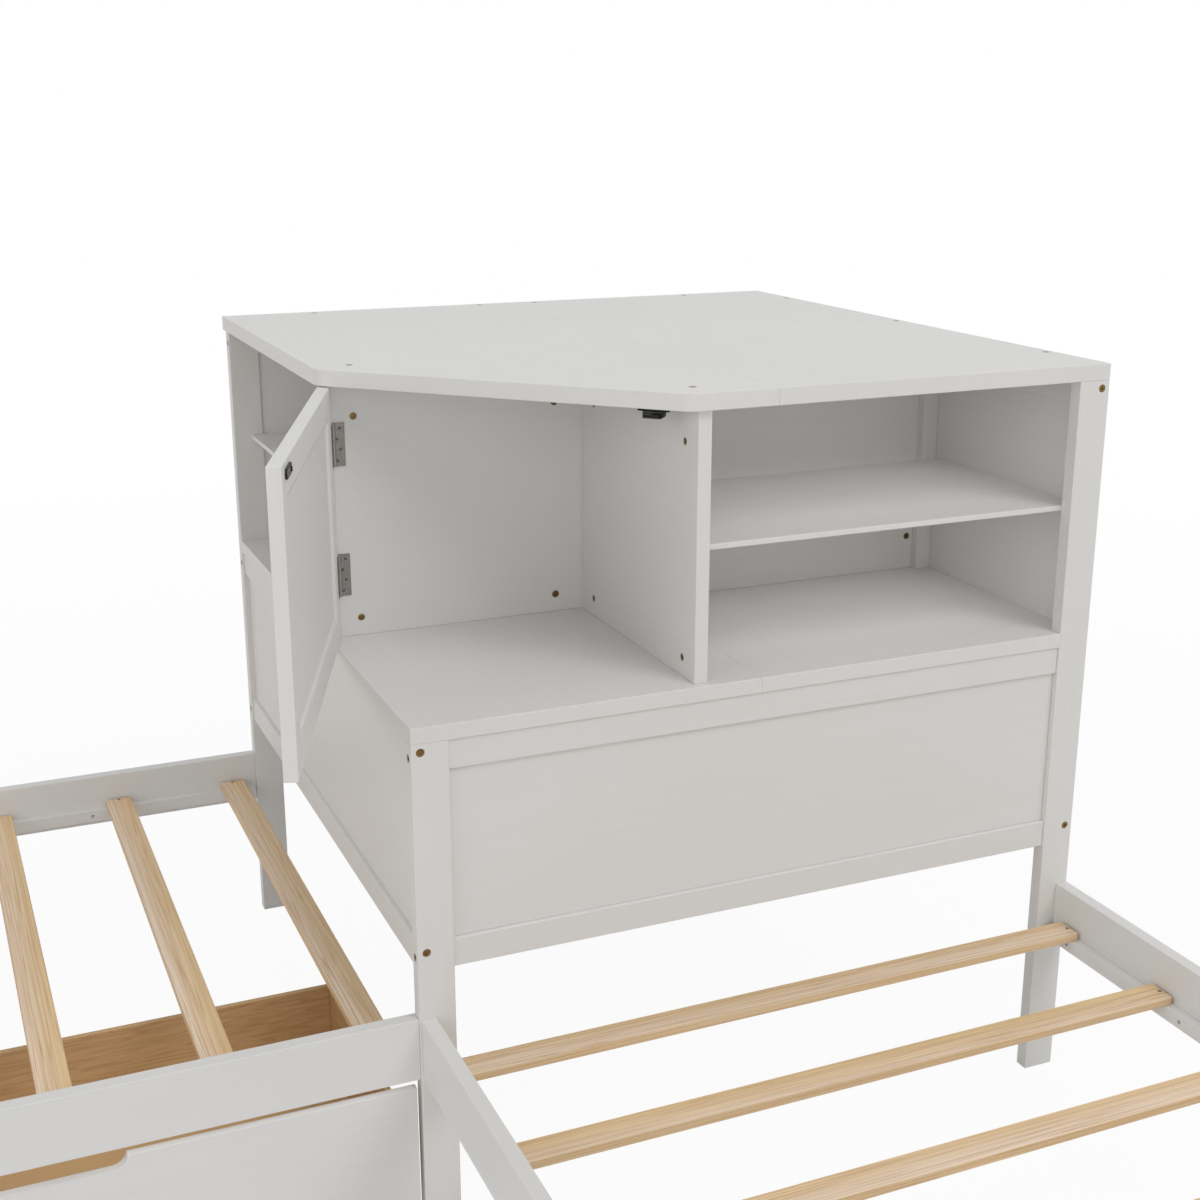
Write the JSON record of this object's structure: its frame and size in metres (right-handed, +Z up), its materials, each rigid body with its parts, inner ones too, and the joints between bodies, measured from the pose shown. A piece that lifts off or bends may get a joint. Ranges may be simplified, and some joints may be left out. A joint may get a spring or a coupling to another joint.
{
  "type": "l-shaped bed",
  "caption": "Two slatted beds joined at a right angle by a corner cabinet with open bays and a door on its slanted corner; roll-out drawers sit under one bed.",
  "frame": {"origin": "middle of the outline, on the floor under the legs", "axes": "+X along the cabinet's front to its closed right side, away from the bed with the drawers; +Y towards the cabinet's back, away from the other bed; +Z up"},
  "size_m": [3.045, 3.05, 1.139],
  "materials": {
    "painted_wood": "satin off-white paint",
    "pine": "clear-coated pine",
    "plywood": "clear-coated plywood",
    "bronze_hardware": "dull bronze plating",
    "steel": "plain pressed steel",
    "black_plastic": "moulded black",
    "caster_wheel": "moulded black"
  },
  "bodies": {
    "bed": {"back_left_post": "painted_wood", "back_panels": "painted_wood", "back_rails": "painted_wood", "back_right_post": "painted_wood", "barrel_nuts": "bronze_hardware", "corner_batten": "painted_wood", "cross_wall": "painted_wood", "deck_left_board": "painted_wood", "deck_right_board": "painted_wood", "divider": "painted_wood", "frame_bolts": "bronze_hardware", "front_corner_post": "painted_wood", "front_panel": "painted_wood", "front_rails": "painted_wood", "front_right_post": "painted_wood", "hinge_pins": "steel", "hinge_wall_leaves": "steel", "latch_body": "black_plastic", "left_bay_wall": "painted_wood", "left_bed_foot_legs": "painted_wood", "left_bed_foot_rail": "painted_wood", "left_bed_inner_rail": "painted_wood", "left_bed_outer_rail": "painted_wood", "left_bed_slats": "pine", "left_panel": "painted_wood", "left_rails": "painted_wood", "left_shelf": "painted_wood", "right_bed_foot_legs": "painted_wood", "right_bed_foot_rail": "painted_wood", "right_bed_inner_rail": "painted_wood", "right_bed_outer_rail": "painted_wood", "right_bed_slats": "pine", "right_panels": "painted_wood", "right_rails": "painted_wood", "right_shelf": "painted_wood", "slat_ledgers": "painted_wood", "top_left_board": "painted_wood", "top_right_board": "painted_wood"},
    "door": {"door_hinge_stile": "painted_wood", "door_latch_stile": "painted_wood", "door_top_rail": "painted_wood", "door_bottom_rail": "painted_wood", "door_panel": "painted_wood", "hinge_door_leaves": "steel", "latch_strike": "black_plastic"},
    "latch_plunger": {"latch_plunger": "black_plastic"},
    "near_drawer": {"near_drawer_back": "plywood", "near_drawer_bottom": "plywood", "near_drawer_caster_forks": "steel", "near_drawer_front": "painted_wood", "near_drawer_sides": "plywood"},
    "near_drawer_front_wheels": {"near_drawer_front_wheels": "caster_wheel"},
    "near_drawer_rear_wheels": {"near_drawer_rear_wheels": "caster_wheel"},
    "far_drawer": {"far_drawer_back": "plywood", "far_drawer_bottom": "plywood", "far_drawer_caster_forks": "steel", "far_drawer_front": "painted_wood", "far_drawer_sides": "plywood"},
    "far_drawer_front_wheels": {"far_drawer_front_wheels": "caster_wheel"},
    "far_drawer_rear_wheels": {"far_drawer_rear_wheels": "caster_wheel"}
  },
  "joints": [
    {"name": "door_hinge", "type": "hinge", "parent": "bed", "child": "door", "pos_m": [0.4825, 0.8634, 0.9265], "axis": [0, 0, 1], "range_deg": [-60, 64.5]},
    {"name": "latch_press", "type": "slide", "parent": "bed", "child": "latch_plunger", "axis": [0.712, 0.7022, 0], "range_m": [0, 0.005], "stiffness_N_per_m": 300},
    {"name": "near_drawer_slide", "type": "slide", "parent": "bed", "child": "near_drawer", "axis": [0, -1, 0], "range_m": [0, 0.35]},
    {"name": "near_drawer_front_wheels_roll", "type": "hinge", "parent": "near_drawer", "child": "near_drawer_front_wheels", "pos_m": [-0.02975, 0.5365, 0.0143], "axis": [1, 0, 0], "continuous": true},
    {"name": "near_drawer_rear_wheels_roll", "type": "hinge", "parent": "near_drawer", "child": "near_drawer_rear_wheels", "pos_m": [-0.02975, 0.7955, 0.0143], "axis": [1, 0, 0], "continuous": true},
    {"name": "far_drawer_slide", "type": "slide", "parent": "bed", "child": "far_drawer", "axis": [0, -1, 0], "range_m": [0, 0.35]},
    {"name": "far_drawer_front_wheels_roll", "type": "hinge", "parent": "far_drawer", "child": "far_drawer_front_wheels", "pos_m": [-1.00825, 0.5365, 0.0143], "axis": [1, 0, 0], "continuous": true},
    {"name": "far_drawer_rear_wheels_roll", "type": "hinge", "parent": "far_drawer", "child": "far_drawer_rear_wheels", "pos_m": [-1.00825, 0.7955, 0.0143], "axis": [1, 0, 0], "continuous": true}
  ]
}
